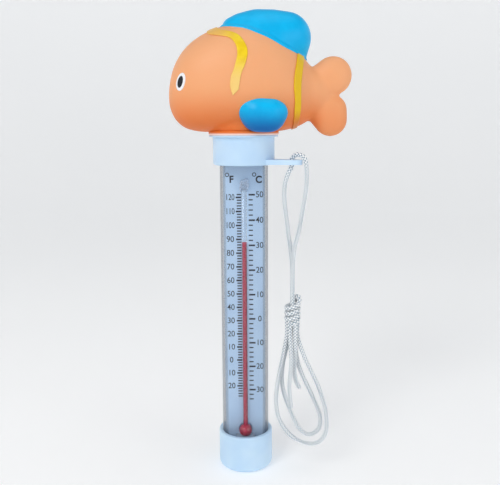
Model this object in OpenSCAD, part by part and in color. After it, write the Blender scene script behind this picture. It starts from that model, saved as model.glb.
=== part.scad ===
// Floating pool thermometer: a fish float on a clear tube with a capillary thermometer inside and a cord.
// Millimetres. +Z runs up the tube's axis from the flat base at z = 0; the fish's head points to -X.

/* [Tube] */
// Outer diameter of the clear tube
tube_od = 24; // [22:0.5:25]
// Wall thickness of the tube
tube_wall = 1.4; // [1:0.1:2]

/* [Bottom cap] */
// Height of the bottom cap
base_h = 19.6; // [16:0.2:22]
// Thickness of its side wall outside the tube
base_wall = 1.9; // [1.4:0.1:2.4]
// Thickness of its floor
base_floor = 3; // [2.4:0.2:3.4]
// Rounding of its lower edge
base_round = 3; // [1:0.5:3]
// Height of the steel ballast
ballast_h = 9; // [6:0.5:9]

/* [Top cap] */
// Height of the cap's lower edge above the base
cap_z = 158; // [157:0.5:158]
// Height of the cap's straight side
cap_h = 13.6; // [12:0.2:13.6]
// Outer diameter of the cap
cap_od = 30.3; // [29:0.1:31]
// Diameter of the flange under the float
flange_od = 34; // [32:0.5:34]
// Height of the spigot that the float is pushed over
spigot_h = 6; // [4:0.5:7]

/* [Eyelet tab] */
// Direction of the tab, measured from the tail towards the front of the scale
tab_turn = 25; // [20:1:30]
// Distance from the tube's axis to the bar that the cord hangs on
bar_reach = 29; // [28.5:0.1:29.5]
// Thickness of the tab
tab_t = 2.4; // [2:0.1:2.6]
// Diameter of the eyelet hole
eyelet_d = 4.6; // [4.4:0.1:4.6]

/* [Thermometer] */
// Diameter of the glass stem
stem_d = 2.8; // [2.6:0.1:3]
// Diameter of the bore that holds the liquid
bore_d = 1.5; // [1.2:0.1:1.6]
// Diameter of the glass bulb
bulb_d = 6.8; // [6:0.1:7]
// Temperature that the column shows, in degrees Celsius
reading = 31.7; // [20:0.1:40]
// Thickness of the scale card
card_t = 0.5; // [0.3:0.1:0.8]

/* [Float] */
// Wall thickness of the soft shell
shell_wall = 1.8; // [1.5:0.1:2.5]
// Height of the raised stripes above the shell
stripe_t = 0.8; // [0.5:0.1:1]
// Width of the raised stripes
stripe_w = 4.6; // [3.5:0.1:5]

/* [Cord] */
// Diameter of the braided cord
cord_d = 2.3; // [2:0.1:2.4]

/* [Hidden] */
$fn = 64;

fit_gap = 0.03;                            // radial gap of the pushed-together fits
tube_r = tube_od / 2;
bore_r = tube_r - tube_wall;               // inside of the tube
base_r = tube_r + base_wall;
seal_t = 1;
tube_bottom = base_floor + seal_t;
cap_top = cap_z + cap_h;
cap_plate = 2.2;                           // the cap's closed end, above the tube
tube_top = cap_top - cap_plate - seal_t;
flange_t = 0.8;
flange_top = cap_top + flange_t;
spigot_r = 11;
spigot_wall = 1.5;

tab_z = cap_z + 0.4;
tab_mid = tab_z + tab_t / 2;
bar_half = 1.6;                            // half the width of the bar between the hole and the tab's end
tab_end = bar_reach + bar_half;
eyelet_reach = bar_reach - bar_half - eyelet_d / 2;

stem_y = -2.4;                             // the stem stands in front of the card
bulb_z = 19;
zero_z = 79.1;                             // height of 0 degrees Celsius
degree_h = 1.28;                           // height of one degree Celsius
level_z = zero_z + reading * degree_h;
stem_top = 147;
knob_r = 1.55;
liquid_gap = 0.05;                         // between the liquid and the glass
liquid_r = bore_d / 2 - liquid_gap;
bulb_glass = 0.5;
bulb_inside = bulb_d / 2 - bulb_glass;
neck_z = bulb_z + bulb_inside - 0.3;       // where the column leaves the bulb and starts in the bore
tip_h = 1;
card_back = stem_y + stem_d / 2 + 0.2;     // the card's front face
card_half = sqrt(pow(bore_r, 2) - pow(card_back + card_t, 2)) - 0.15;
card_bottom = tube_bottom + ballast_h + 0.2;

// Sections of the fish's body: [x, top z, bottom z, half width], from the nose to the root of the tail
body_sections = [
    [-35.7, 193, 188, 3.5], [-35.1, 197.4, 184.6, 8.6], [-33, 205, 180, 14], [-28.5, 212.4, 176, 18.4],
    [-21.5, 218.4, 174.2, 21.8], [-11.5, 222.9, 173.8, 23.8], [0, 224.6, 173.8, 24.2],
    [11, 222.4, 173.8, 22.6], [20, 217.6, 174.6, 18.8], [27, 211.4, 176.6, 14], [32, 205.6, 179.4, 9.6],
    [36, 202.6, 181.6, 7.6]
];
section_steps = 2;                         // steps between two of those sections
section_sides = 28;
squareness = 2.3;                          // exponent of the superelliptic section
belly_share = 0.47;                        // share of a section's height that is below its widest line
lip_bottom = flange_top;
lip_top = 174.6;
lip_r = 17.2;
stub_r = 16.4;                             // the short neck between the lip and the belly
stub_top = 182;

// The balls that the back fin is drawn round: X, Z, reach, half thickness
back_fin = [
    [-4.6, 222.3, 5.6, 9.5], [0.5, 219.5, 10.4, 12.5], [7.2, 214, 17.4, 15], [20.3, 218, 12.3, 11.5],
    [29.4, 209.2, 1, 2]
];
fin_gap = 0.08;                            // between the fins, the stripes and the neck

eye_place = [-28.5, 18.1, 196.9];
eye_turn = 50;                             // how far the eye faces sideways from straight ahead
eye_lean = 14;
eye_size = [5.2, 8.2];
pupil_size = [3.1, 5.5];

// Routes of the cord's stretches, and where the knot that joins them is
left_strand = [
    [23, -10.7, 159.6], [23, -10.7, 157.4], [21.4, -10.6, 154.2], [19.9, -10.5, 149.5], [19.5, -10.4, 143.5],
    [19.9, -10.4, 137.5], [20.8, -10.4, 131], [21.5, -10.5, 124.5], [22.5, -10.6, 118], [23.3, -10.7, 111.5],
    [23.6, -10.7, 105], [23.6, -10.7, 99], [23.6, -10.7, 93]
];
right_strand = [
    [23, -10.7, 159.6], [23, -10.7, 161], [24.2, -11.3, 162.7], [26.3, -12.3, 163.3], [28.6, -13.3, 162.1],
    [29.5, -13.8, 159.6], [30, -13.9, 154.5], [29.9, -13.8, 149], [29.2, -13.6, 143], [28.2, -13.4, 137],
    [27.3, -13.2, 131], [26, -13.1, 125], [24.5, -13.2, 119], [23.8, -13.3, 112.5], [23.6, -13.3, 106],
    [23.6, -13.3, 99.5], [23.6, -13.3, 93]
];
outer_loop = [
    [26.2, -12, 79], [26.2, -12, 74.5], [27.6, -12.2, 68.5], [30, -12.5, 62], [33, -12.8, 55.5],
    [36, -13, 49], [38.4, -13.2, 42.5], [40.3, -13.4, 36], [41.2, -13.5, 29], [40.8, -13.4, 22.5],
    [37.8, -13.3, 17.8], [33, -13.2, 16.4], [27.4, -13, 18], [22.4, -13, 21.6], [18.6, -13, 26.8],
    [16.2, -13, 33], [15.6, -13, 40], [16, -12.9, 47], [17.2, -12.7, 54], [18.5, -12.5, 61],
    [19.9, -12.2, 68], [21, -12, 74.5], [21, -12, 79]
];
inner_loop = [
    [24.9, -9.7, 79], [24.9, -9.7, 74], [25.3, -9.8, 67.5], [26.2, -9.8, 61], [28, -9.9, 54.5],
    [30.8, -10, 48], [33.8, -10, 41.5], [36.6, -10, 35], [38.4, -10, 28.5], [37.2, -10, 22.6],
    [32.2, -10, 20], [27.6, -10, 23.4], [24.6, -10, 29], [22, -10, 35.5], [19.8, -10, 42], [18.6, -10, 49],
    [18.8, -9.9, 56], [20, -9.8, 63], [21.6, -9.7, 69.5], [22.3, -9.7, 75], [22.3, -9.7, 79]
];
front_tail = [
    [22.3, -14.3, 79], [22.3, -14.3, 74.5], [22.7, -14.8, 68.5], [23, -15.1, 62], [22.5, -15.3, 55],
    [22, -15.3, 48.5], [22.4, -15.1, 42], [23.1, -14.9, 36.5]
];
back_tail = [
    [24.9, -14.3, 79], [24.9, -14.3, 74.5], [25, -13.8, 68.5], [24.8, -13, 62], [24.8, -12.7, 55.5],
    [25.6, -12.6, 50], [27.6, -12.7, 46]
];
cord_sides = 8;
knot_place = [23.6, -12];
knot_bottom = 79;
knot_top = 93;
knot_r = 3.9;

float_colour = [0.95, 0.66, 0.45];
fin_colour = [0.05, 0.62, 0.92];
stripe_colour = [0.93, 0.8, 0.2];
cap_colour = [0.86, 0.92, 0.97];
cord_colour = [0.93, 0.94, 0.95];
liquid_colour = [0.75, 0.08, 0.2];

// ---- Shared shapes ----

function arc(centre, r, from, to, steps = 6) =
    [for (i = [0:steps]) let (a = from + (to - from) * i / steps) centre + r * [cos(a), sin(a)]];

module ring(r_out, r_in, z_low, z_high) {
    translate([0, 0, z_low]) difference() {
        cylinder(r = r_out, h = z_high - z_low);
        translate([0, 0, -1]) cylinder(r = r_in, h = z_high - z_low + 2);
    }
}

// Evaluates its children as one closed mesh
module meshed() {
    resize([0, 0, 0]) children();
}

// A flat outline drawn in X and Z, extruded to both sides of the middle plane
module side_plate(half) {
    rotate([90, 0, 0]) linear_extrude(2 * half, center = true) children();
}

// ---- Casing ----

module bottom_cap() {
    edge = 0.6;
    color(cap_colour) rotate_extrude() polygon(concat(
        [[0, 0]],
        arc([base_r - base_round, base_round], base_round, -90, 0),
        arc([base_r - edge, base_h - edge], edge, 0, 90, 3),
        [[tube_r + fit_gap, base_h], [tube_r + fit_gap, base_floor], [0, base_floor]]
    ));
}

module bottom_seal() {
    color("white") ring(tube_r, bore_r - 1, base_floor, tube_bottom);
}

module ballast_weight() {
    bevel = 0.6;
    r = bore_r - 0.1;
    color("silver") translate([0, 0, tube_bottom]) rotate_extrude() polygon([
        [0, 0], [r - bevel, 0], [r, bevel], [r, ballast_h - bevel], [r - bevel, ballast_h], [0, ballast_h]
    ]);
}

module bulb_pad() {
    bottom = tube_bottom + ballast_h;
    top = bulb_z - bulb_d / 2 + 0.8;
    color("gainsboro") difference() {
        translate([0, stem_y, bottom]) cylinder(r = 5, h = top - bottom);
        translate([0, stem_y, bulb_z]) sphere(d = bulb_d + 2 * fit_gap);
        translate([-card_half, card_back - fit_gap, bottom - 1])
            cube([2 * card_half, card_t + 2 * fit_gap, top - bottom + 2]);
    }
}

module tube() {
    color([0.85, 0.9, 0.95, 0.35]) ring(tube_r, bore_r, tube_bottom, tube_top);
}

module top_seal() {
    color("white") ring(tube_r, bore_r - 1, tube_top, tube_top + seal_t);
}

module cap_body() {
    edge = 0.8;
    cap_r = cap_od / 2;
    flange_r = flange_od / 2;
    plate_z = cap_top - cap_plate;
    rotate_extrude() polygon([
        [tube_r + fit_gap, cap_z], [cap_r - edge, cap_z], [cap_r, cap_z + edge], [cap_r, cap_top],
        [flange_r, cap_top], [flange_r, flange_top], [spigot_r, flange_top], [spigot_r, flange_top + spigot_h],
        [spigot_r - spigot_wall, flange_top + spigot_h], [spigot_r - spigot_wall, cap_top], [0, cap_top],
        [0, plate_z], [tube_r + fit_gap, plate_z]
    ]);
}

module eyelet_tab() {
    root = tube_r + 1.5;
    root_half = 5.6;
    end_r = 4;
    rotate([0, 0, -tab_turn]) translate([0, 0, tab_z]) linear_extrude(tab_t) {
        translate([tab_end - end_r, 0]) circle(r = end_r);
        polygon([[root, root_half], [tab_end - end_r, end_r], [tab_end - end_r, -end_r], [root, -root_half]]);
    }
}

module top_cap() {
    color(cap_colour) difference() {
        union() {
            cap_body();
            eyelet_tab();
        }
        rotate([0, 0, -tab_turn]) translate([eyelet_reach, 0, tab_z - 1]) cylinder(d = eyelet_d, h = tab_t + 2);
    }
}

// ---- Thermometer ----

// A flat card across the tube, with a round hole for the bulb
module scale_card() {
    color([0.78, 0.87, 0.95]) difference() {
        translate([-card_half, card_back, card_bottom]) cube([2 * card_half, card_t, tube_top - card_bottom]);
        translate([0, 0, bulb_z]) rotate([90, 0, 0]) cylinder(d = bulb_d + 0.6, h = 10, center = true);
    }
}

// Bulb, stem and the sealed knob at its end
module glass_stem() {
    stem_r = stem_d / 2;
    color([0.9, 0.95, 1, 0.4]) translate([0, stem_y, 0]) difference() {
        union() {
            translate([0, 0, bulb_z]) sphere(d = bulb_d);
            translate([0, 0, bulb_z]) cylinder(r = stem_r, h = stem_top - bulb_z);
            translate([0, 0, stem_top]) sphere(r = knob_r);
        }
        translate([0, 0, bulb_z]) sphere(r = bulb_inside);
        translate([0, 0, bulb_z]) cylinder(d = bore_d, h = stem_top - bulb_z - 2);
    }
}

module stem_glue() {
    color([0.9, 0.93, 0.97, 0.5]) difference() {
        translate([0, card_back - 1.2, stem_top + 0.8]) scale([2.6, 1.2, 3.2]) sphere(r = 1);
        translate([0, stem_y, stem_top]) sphere(r = knob_r + fit_gap);
        translate([0, stem_y, stem_top - 8]) cylinder(d = stem_d + 2 * fit_gap, h = 8);
    }
}

module bulb_liquid() {
    color(liquid_colour) translate([0, stem_y, 0]) intersection() {
        translate([0, 0, bulb_z]) sphere(r = bulb_inside - liquid_gap);
        translate([-5, -5, 0]) cube([10, 10, neck_z]);
    }
}

module liquid_column() {
    color(liquid_colour) translate([0, stem_y, neck_z])
        cylinder(r = liquid_r, h = level_z - tip_h - neck_z);
}

module column_tip() {
    color(liquid_colour) translate([0, stem_y, level_z - tip_h]) rotate_extrude() polygon(concat(
        [[0, 0], [liquid_r, 0]],
        arc([0, tip_h - liquid_r], liquid_r, 0, 90, 4)
    ));
}

// ---- Float ----

// Smooth value between the middle two of four, at t from 0 to 1
function smooth(a, b, c, d, t) =
    0.5 * (2 * b + (c - a) * t + (2 * a - 5 * b + 4 * c - d) * t * t + (3 * b - a - 3 * c + d) * t * t * t);

function section_at(u) =
    let (
        last = len(body_sections) - 1,
        i = min(floor(u), last - 1),
        before = body_sections[max(i - 1, 0)],
        after = body_sections[min(i + 2, last)]
    )
    smooth(before, body_sections[i], body_sections[i + 1], after, u - i);

function signed_power(v, p) = sign(v) * pow(abs(v), p);

// One ring of points round the body, its skin moved outwards by grow
function section_ring(s, grow) =
    let (middle = s[2] + belly_share * (s[1] - s[2]))
    [for (k = [0:section_sides - 1])
        let (
            a = 360 * k / section_sides,
            up = signed_power(sin(a), 2 / squareness),
            out = signed_power(cos(a), 2 / squareness),
            half_h = (up > 0 ? s[1] - middle : middle - s[2]) + grow
        )
        [s[0], out * (s[3] + grow), middle + up * half_h]];

module body_loft(grow) {
    count = (len(body_sections) - 1) * section_steps;
    rings = [for (i = [0:count]) section_ring(section_at(i / section_steps), grow)];
    nose = rings[0][0][0] - grow;
    points = concat(
        [for (i = [0:count]) each [for (p = rings[i]) [i == 0 ? nose : i == count ? p[0] + grow : p[0], p[1], p[2]]]]
    );
    n = section_sides;
    sides = [for (i = [0:count - 1]) each [for (k = [0:n - 1])
        let (next = (k + 1) % n) [i * n + k, (i + 1) * n + k, (i + 1) * n + next, i * n + next]]];
    polyhedron(points, concat(
        sides, [[for (k = [0:n - 1]) k]], [[for (k = [n - 1:-1:0]) count * n + k]]
    ), convexity = 4);
}

module tail_ball(x, z, r) {
    translate([x, 0, z]) scale([1, 0.62, 1]) sphere(r = r, $fn = 24);
}

module tail() {
    hull() {
        tail_ball(35, 195.6, 8.2);
        tail_ball(43.3, 200.5, 9.3);
    }
    hull() {
        tail_ball(35, 188.4, 8.2);
        tail_ball(42.4, 179.8, 8.3);
        tail_ball(43.1, 184.2, 7.4);
    }
}

// The layer of the given thickness on the body's skin
module skin(thickness) {
    difference() {
        body_loft(thickness);
        body_loft(0);
    }
}

module neck_stub(grow) {
    translate([0, 0, lip_bottom]) cylinder(r = stub_r + grow, h = stub_top - lip_bottom + grow, $fn = 48);
}

module float_shell() {
    neck_r = spigot_r + 0.3;
    color(float_colour) meshed() difference() {
        union() {
            body_loft(0);
            tail();
            translate([0, 0, lip_bottom]) cylinder(r = lip_r, h = lip_top - lip_bottom, $fn = 48);
            neck_stub(0);
        }
        body_loft(-shell_wall);
        translate([0, 0, lip_bottom - 1]) cylinder(r = neck_r, h = 6, $fn = 48);
    }
}

// The outer form of the back fin: a thick pillow that narrows to its ends
module dorsal_form(grow) {
    hull() for (b = back_fin)
        translate([b[0], 0, b[1]]) scale([b[2] + grow, b[3] + grow, b[2] + grow]) sphere(r = 1, $fn = 32);
}

// Back fin, cut to the body's back
module dorsal_fin() {
    color(fin_colour) meshed() difference() {
        dorsal_form(0);
        body_loft(0);
        translate([0, 0, 190]) cube([90, 60, 34], center = true);
    }
}

module pectoral_fin(side) {
    color(fin_colour) meshed() difference() {
        translate([8.8, side * 17.6, 182.8]) rotate([0, 6, 0]) scale([11.8, 7.4, 8.6]) sphere(r = 1, $fn = 32);
        body_loft(0);
        neck_stub(fin_gap);
    }
}

module pectoral_fin_left() {
    pectoral_fin(1);
}

module pectoral_fin_right() {
    pectoral_fin(-1);
}

// Centre line of the front stripe, from the middle of the head down the side
function stripe_line() = [
    [-14.9, 226], [-14.7, 222], [-13.4, 219.9], [-9.9, 218.8], [-4.9, 217.4], [-1.6, 214.4], [-0.1, 209.4],
    [-0.8, 205.2], [-2.4, 201], [-3.6, 195.6], [-3.7, 193.4]
];

module front_stripe() {
    line = stripe_line();
    color(stripe_colour) meshed() difference() {
        intersection() {
            skin(stripe_t);
            side_plate(40) for (i = [0:len(line) - 2]) hull() {
                translate(line[i]) circle(d = stripe_w, $fn = 24);
                translate(line[i + 1]) circle(d = stripe_w, $fn = 24);
            }
        }
        dorsal_form(fin_gap);
    }
}

// A band round the root of the tail that leans with the body and ends at the back fin
module rear_stripe() {
    lean = 4.7;
    rear_stripe_w = stripe_w - 0.8;
    color(stripe_colour) meshed() difference() {
        intersection() {
            skin(stripe_t);
            side_plate(40) translate([25.5, 193.5]) rotate(-lean) square([rear_stripe_w, 50], center = true);
        }
        dorsal_form(fin_gap);
    }
}

module eye_plug(side, size) {
    translate([eye_place[0], side * eye_place[1], eye_place[2]])
        rotate([0, 0, side * (180 - eye_turn)]) rotate([0, 90, 0]) rotate([0, 0, side * eye_lean])
            translate([0, 0, -4]) scale([size[1], size[0], 1]) cylinder(d = 1, h = 10, $fn = 32);
}

module eye_white(side) {
    color("white") meshed() difference() {
        intersection() {
            skin(0.3);
            eye_plug(side, eye_size);
        }
        eye_plug(side, pupil_size);
    }
}

module eye_white_left() {
    eye_white(1);
}

module eye_white_right() {
    eye_white(-1);
}

module pupil(side) {
    color([0.05, 0.05, 0.1]) meshed() intersection() {
        skin(0.4);
        eye_plug(side, pupil_size);
    }
}

module pupil_left() {
    pupil(1);
}

module pupil_right() {
    pupil(-1);
}

// ---- Cord ----

function unit(v) = v / norm(v);

// Direction of the route at its point i
function heading(route, i) =
    unit(route[min(i + 1, len(route) - 1)] - route[max(i - 1, 0)]);

// A sweep's ring square to the route at point i
function cord_ring(route, i) =
    let (
        ahead = heading(route, i),
        across = unit(cross(ahead, [0, 1, 0.001])),
        other = cross(ahead, across)
    )
    [for (k = [0:cord_sides - 1])
        let (a = 360 * (k + 0.5) / cord_sides)
        route[i] + cord_d / 2 * (cos(a) * across + sin(a) * other)];

module cord(route) {
    n = cord_sides;
    last = len(route) - 1;
    color(cord_colour) polyhedron(
        [for (i = [0:last]) each cord_ring(route, i)],
        concat(
            [for (i = [0:last - 1]) each [for (k = [0:n - 1])
                let (next = (k + 1) % n) [i * n + k, i * n + next, (i + 1) * n + next, (i + 1) * n + k]]],
            [[for (k = [n - 1:-1:0]) k]], [[for (k = [0:n - 1]) last * n + k]]
        ),
        convexity = 10
    );
}

module tether_left_strand() {
    cord(left_strand);
}

module tether_right_strand() {
    cord(right_strand);
}

module tether_outer_loop() {
    cord(outer_loop);
}

module tether_inner_loop() {
    cord(inner_loop);
}

module tether_front_tail() {
    cord(front_tail);
}

module tether_back_tail() {
    cord(back_tail);
}

module tether_knot() {
    height = knot_top - knot_bottom;
    belly_r = knot_r + 0.3;
    color(cord_colour) translate([knot_place[0], knot_place[1], knot_bottom]) rotate_extrude() polygon([
        [0, 0], [knot_r, 0], [belly_r, height / 4], [belly_r, height * 3 / 4], [knot_r, height], [0, height]
    ]);
}

bottom_cap();
bottom_seal();
ballast_weight();
bulb_pad();
tube();
top_seal();
top_cap();
scale_card();
glass_stem();
stem_glue();
bulb_liquid();
liquid_column();
column_tip();
float_shell();
dorsal_fin();
pectoral_fin_left();
pectoral_fin_right();
front_stripe();
rear_stripe();
eye_white_left();
eye_white_right();
pupil_left();
pupil_right();
tether_left_strand();
tether_right_strand();
tether_outer_loop();
tether_inner_loop();
tether_front_tail();
tether_back_tail();
tether_knot();
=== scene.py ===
# Pool thermometer: a fish float on a clear tube, a capillary thermometer inside it and a braided cord
import math

import bpy
from mathutils import Matrix, Vector


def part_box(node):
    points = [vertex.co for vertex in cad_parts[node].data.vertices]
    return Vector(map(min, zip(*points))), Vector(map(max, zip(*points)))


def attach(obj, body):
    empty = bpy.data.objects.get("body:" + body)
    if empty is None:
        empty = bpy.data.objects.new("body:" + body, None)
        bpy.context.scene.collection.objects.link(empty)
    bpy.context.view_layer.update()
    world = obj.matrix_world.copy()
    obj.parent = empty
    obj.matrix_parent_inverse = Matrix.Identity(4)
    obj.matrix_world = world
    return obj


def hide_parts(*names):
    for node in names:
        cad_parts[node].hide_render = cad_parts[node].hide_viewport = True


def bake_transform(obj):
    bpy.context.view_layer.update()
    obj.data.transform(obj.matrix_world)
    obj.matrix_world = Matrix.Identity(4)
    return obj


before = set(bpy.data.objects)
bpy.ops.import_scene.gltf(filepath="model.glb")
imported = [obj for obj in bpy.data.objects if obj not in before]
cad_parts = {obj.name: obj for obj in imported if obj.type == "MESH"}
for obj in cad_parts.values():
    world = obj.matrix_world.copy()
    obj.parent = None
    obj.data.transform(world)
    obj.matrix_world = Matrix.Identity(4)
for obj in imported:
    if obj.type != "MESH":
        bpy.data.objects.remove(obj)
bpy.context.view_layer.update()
mm = 0.001


# Makes one piece the only selected and active one
def only(piece):
    bpy.ops.object.select_all(action="DESELECT")
    piece.select_set(True)
    bpy.context.view_layer.objects.active = piece
    return piece


# Names the newest primitive and sets its place into its mesh
def added(name):
    piece = bpy.context.object
    piece.name = name
    piece.data.name = name
    bpy.ops.object.transform_apply(location=True, rotation=True, scale=True)
    return piece


def ball(name, place, size, segments=32, turn=(0, 0, 0)):
    bpy.ops.object.select_all(action="DESELECT")
    bpy.ops.mesh.primitive_uv_sphere_add(
        segments=segments, ring_count=segments // 2, radius=1, location=Vector(place) * mm,
        rotation=turn, scale=Vector(size) * mm)
    return added(name)


def rod(name, place, radius, depth, turn=(0, 0, 0), sides=64):
    bpy.ops.object.select_all(action="DESELECT")
    bpy.ops.mesh.primitive_cylinder_add(
        vertices=sides, radius=radius * mm, depth=depth * mm, location=Vector(place) * mm, rotation=turn)
    return added(name)


def block(name, place, size, turn=(0, 0, 0)):
    bpy.ops.object.select_all(action="DESELECT")
    bpy.ops.mesh.primitive_cube_add(
        size=1, location=Vector(place) * mm, rotation=turn, scale=Vector(size) * mm)
    return added(name)


def copyOf(piece, name):
    twin = piece.copy()
    twin.data = piece.data.copy()
    twin.name = name
    bpy.context.collection.objects.link(twin)
    return only(twin)


def joined(pieces):
    only(pieces[0])
    for piece in pieces:
        piece.select_set(True)
    bpy.ops.object.join()
    return bpy.context.object


def editing(piece):
    only(piece)
    bpy.ops.object.mode_set(mode="EDIT")


def done():
    bpy.ops.object.mode_set(mode="OBJECT")


def modified(piece, kind, **settings):
    only(piece)
    modifier = piece.modifiers.new(kind.title(), kind)
    for key, value in settings.items():
        setattr(modifier, key, value)
    bpy.ops.object.modifier_apply(modifier=modifier.name)
    return piece


def hulled(pieces):
    whole = joined(pieces)
    editing(whole)
    bpy.ops.mesh.select_all(action="SELECT")
    bpy.ops.mesh.convex_hull()
    done()
    return whole


def cut(piece, tool, operation="DIFFERENCE"):
    modified(piece, "BOOLEAN", object=tool, operation=operation, solver="EXACT")
    bpy.data.objects.remove(tool)
    return piece


# Melts joined shapes into one skin with soft inner corners, as moulded vinyl has
def melted(piece, grain, softening):
    modified(piece, "REMESH", mode="VOXEL", voxel_size=grain * mm, adaptivity=0)
    return modified(piece, "SMOOTH", factor=0.5, iterations=softening)


# A solid of revolution: the profile is extruded point by point and spun round the axis
def turned(name, profile, centre=(0, 0), steps=96, angle=30):
    bpy.ops.object.select_all(action="DESELECT")
    bpy.ops.mesh.primitive_plane_add(size=mm)
    piece = added(name)
    editing(piece)
    bpy.ops.mesh.select_all(action="SELECT")
    bpy.ops.mesh.merge(type="CENTER")
    bpy.ops.mesh.select_all(action="SELECT")
    start = Vector((profile[0][0] + centre[0], centre[1], profile[0][1])) * mm
    bpy.ops.transform.translate(value=start)
    for here, there in zip(profile, profile[1:]):
        step = Vector((there[0] - here[0], 0, there[1] - here[1])) * mm
        bpy.ops.mesh.extrude_vertices_move(TRANSFORM_OT_translate={"value": step})
    bpy.ops.mesh.select_all(action="SELECT")
    bpy.ops.mesh.spin(
        steps=steps, angle=2 * math.pi, center=(centre[0] * mm, centre[1] * mm, 0), axis=(0, 0, 1))
    bpy.ops.mesh.select_all(action="SELECT")
    bpy.ops.mesh.remove_doubles(threshold=0.004 * mm)
    bpy.ops.mesh.normals_make_consistent(inside=False)
    done()
    bpy.ops.object.shade_smooth_by_angle(angle=math.radians(angle))
    return piece


def bend(centre, radius, start, end, steps=8):
    angles = [math.radians(start + (end - start) * i / steps) for i in range(steps + 1)]
    return [(centre[0] + radius * math.cos(a), centre[1] + radius * math.sin(a)) for a in angles]


def finished(piece, body, finish, stands=(), angle=None):
    only(piece)
    if angle is None:
        bpy.ops.object.shade_smooth()
    else:
        bpy.ops.object.shade_smooth_by_angle(angle=math.radians(angle))
    piece.data.materials.clear()
    piece.data.materials.append(finish)
    if body:
        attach(piece, body)
    if stands:
        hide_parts(*stands)
    return piece


# Shader sums written as plain expressions
class Amount:
    def __init__(self, finish, socket):
        self.finish = finish
        self.socket = socket

    def reckon(self, operation, *values):
        return self.finish.add("ShaderNodeMath", {"operation": operation}, dict(enumerate(values)))

    def __add__(self, other):
        return self.reckon("ADD", self, other)

    def __mul__(self, other):
        return self.reckon("MULTIPLY", self, other)

    def __pow__(self, other):
        return self.reckon("POWER", self, other)

    __radd__ = __add__
    __rmul__ = __mul__

    # 0 at low and 1 at high, eased at both ends
    def ramp(self, low, high):
        sockets = {"Value": self, "From Min": low, "From Max": high}
        return self.finish.add("ShaderNodeMapRange", {"interpolation_type": "SMOOTHSTEP"}, sockets)


class Finish:
    def __init__(self, name):
        self.material = bpy.data.materials.new(name)
        self.material.use_nodes = True
        self.nodes = self.material.node_tree.nodes
        self.nodes.clear()
        self.result = self.nodes.new("ShaderNodeOutputMaterial")

    # A node by its type, with its settings first and then its sockets' values or links
    def add(self, kind, settings=None, sockets=None, out=0):
        node = self.nodes.new(kind)
        for key, value in (settings or {}).items():
            setattr(node, key, value)
        for key, value in (sockets or {}).items():
            socket = self.socketOf(node.inputs, key)
            if isinstance(value, Amount):
                self.material.node_tree.links.new(value.socket, socket)
            else:
                socket.default_value = value
        return Amount(self, self.socketOf(node.outputs, out))

    @staticmethod
    def socketOf(sockets, key):
        if isinstance(key, int):
            return sockets[key]
        return next(s for s in sockets if key in (s.identifier, s.name))

    def place(self):
        return self.add("ShaderNodeTexCoord", out="Object")

    def axis(self, name):
        return self.add("ShaderNodeSeparateXYZ", sockets={"Vector": self.place()}, out=name)

    def grain(self, scale, detail):
        sockets = {"Vector": self.place(), "Scale": scale, "Detail": detail}
        return self.add("ShaderNodeTexNoise", sockets=sockets)

    def mix(self, amount, first, second):
        sockets = {"Factor_Float": amount, "A_Color": first, "B_Color": second}
        return self.add("ShaderNodeMix", {"data_type": "RGBA"}, sockets, out="Result_Color")

    def bump(self, height, depth, strength=1.0):
        return self.add("ShaderNodeBump", sockets={"Height": height, "Distance": depth, "Strength": strength})

    def plain(self, **sockets):
        names = {key.replace("_", " "): value for key, value in sockets.items()}
        return self.add("ShaderNodeBsdfPrincipled", sockets=names)

    def shows(self, surface):
        self.material.node_tree.links.new(surface.socket, self.result.inputs["Surface"])
        return self.material


# A screen colour from 0 to 255, as the linear value that a socket takes
def tone(red, green, blue):
    def linear(value):
        value = value / 255
        return value / 12.92 if value <= 0.04045 else ((value + 0.055) / 1.055) ** 2.4
    return (linear(red), linear(green), linear(blue), 1)


# Camera: a little above the float, looking slightly down
view = {"place": (0.002797, -0.332122, 0.177205), "pitch": 9.97, "roll": -0.33, "lens": 48.095}


def makeCamera():
    bpy.ops.object.camera_add(location=view["place"])
    camera = bpy.context.object
    tilt = Matrix.Rotation(math.radians(90 - view["pitch"]), 4, "X")
    camera.rotation_euler = (tilt @ Matrix.Rotation(math.radians(view["roll"]), 4, "Z")).to_euler()
    camera.data.lens = view["lens"]
    camera.data.sensor_width = 36
    camera.data.clip_start = 0.01
    bpy.context.scene.camera = camera


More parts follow.
